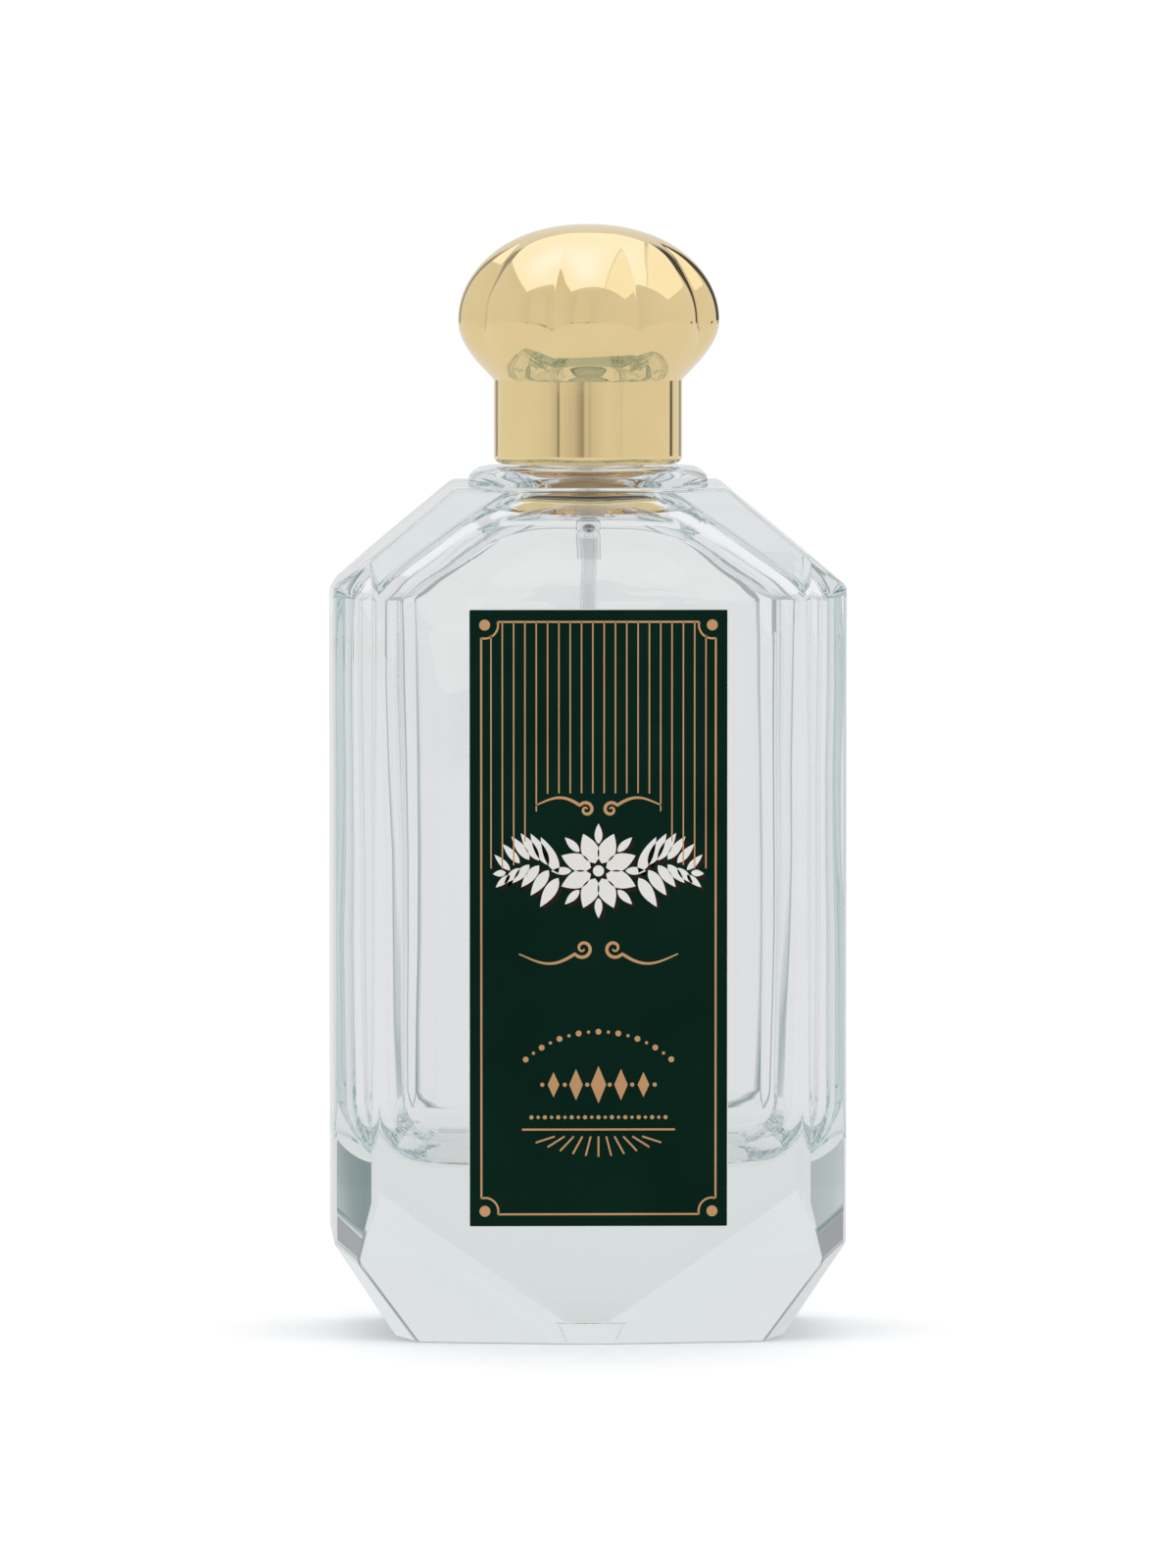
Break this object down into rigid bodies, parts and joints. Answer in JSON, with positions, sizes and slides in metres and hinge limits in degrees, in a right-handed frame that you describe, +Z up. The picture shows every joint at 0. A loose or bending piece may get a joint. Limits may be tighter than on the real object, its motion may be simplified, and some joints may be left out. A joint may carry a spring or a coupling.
{
  "type": "perfume bottle",
  "caption": "Faceted clear glass spray bottle with a tall green front label, a crimp-on spray pump and a lobed gold dome overcap that lifts off.",
  "frame": {"origin": "centre of the flat glass base, on the neck axis", "axes": "+Z up along the neck axis, -Y out of the labelled front face, +X to the viewer's right when facing the label"},
  "size_m": [0.064, 0.0362, 0.1368],
  "materials": {
    "clear_glass": "clear flint glass, fire-polished faces with soft edges",
    "printed_label": "deep green coated label with a tan printed ornament",
    "polished_gold": "bright pale-gold metallised finish",
    "gold_aluminium": "drawn aluminium, anodised pale gold",
    "steel": "bright stainless wire and ball",
    "rubber": "dark grey moulded rubber",
    "natural_plastic": "natural translucent polypropylene and polyethylene",
    "white_plastic": "white moulded plastic"
  },
  "bodies": {
    "bottle": {"glass_bottle": "clear_glass", "front_label": "printed_label", "neck_gasket": "white_plastic", "crimp_ferrule": "gold_aluminium", "neck_collar": "polished_gold", "pump_housing": "natural_plastic", "pump_turret": "white_plastic", "stem_seal": "rubber", "dip_tube": "natural_plastic", "return_spring": "steel"},
    "inlet_valve": {"inlet_ball": "steel"},
    "stem": {"pump_stem": "white_plastic", "piston_rod": "white_plastic", "priming_spring": "steel"},
    "piston": {"pump_piston": "natural_plastic"},
    "spray_head": {"spray_button": "white_plastic", "button_sleeve": "polished_gold", "nozzle_insert": "white_plastic"},
    "overcap": {"overcap_shell": "polished_gold", "overcap_liner": "white_plastic"}
  },
  "joints": [
    {"name": "overcap_lift", "type": "slide", "parent": "bottle", "child": "overcap", "axis": [0, 0, 1], "range_m": [0, 0.04]},
    {"name": "pump_stroke", "type": "slide", "parent": "bottle", "child": "stem", "axis": [0, 0, -1], "range_m": [0, 0.0038], "stiffness_N_per_m": 1200, "springref_m": -0.006, "deforming": ["return_spring"]},
    {"name": "piston_slip", "type": "slide", "parent": "stem", "child": "piston", "axis": [0, 0, 1], "range_m": [0, 0.00035], "stiffness_N_per_m": 3000, "springref_m": -0.001, "deforming": ["priming_spring"]},
    {"name": "spray_head_swivel", "type": "hinge", "parent": "stem", "child": "spray_head", "pos_m": [0, 0, 0.1286], "axis": [0, 0, 1], "continuous": true},
    {"name": "inlet_ball_lift", "type": "slide", "parent": "bottle", "child": "inlet_valve", "axis": [0, 0, 1], "range_m": [0, 0.0004]}
  ]
}
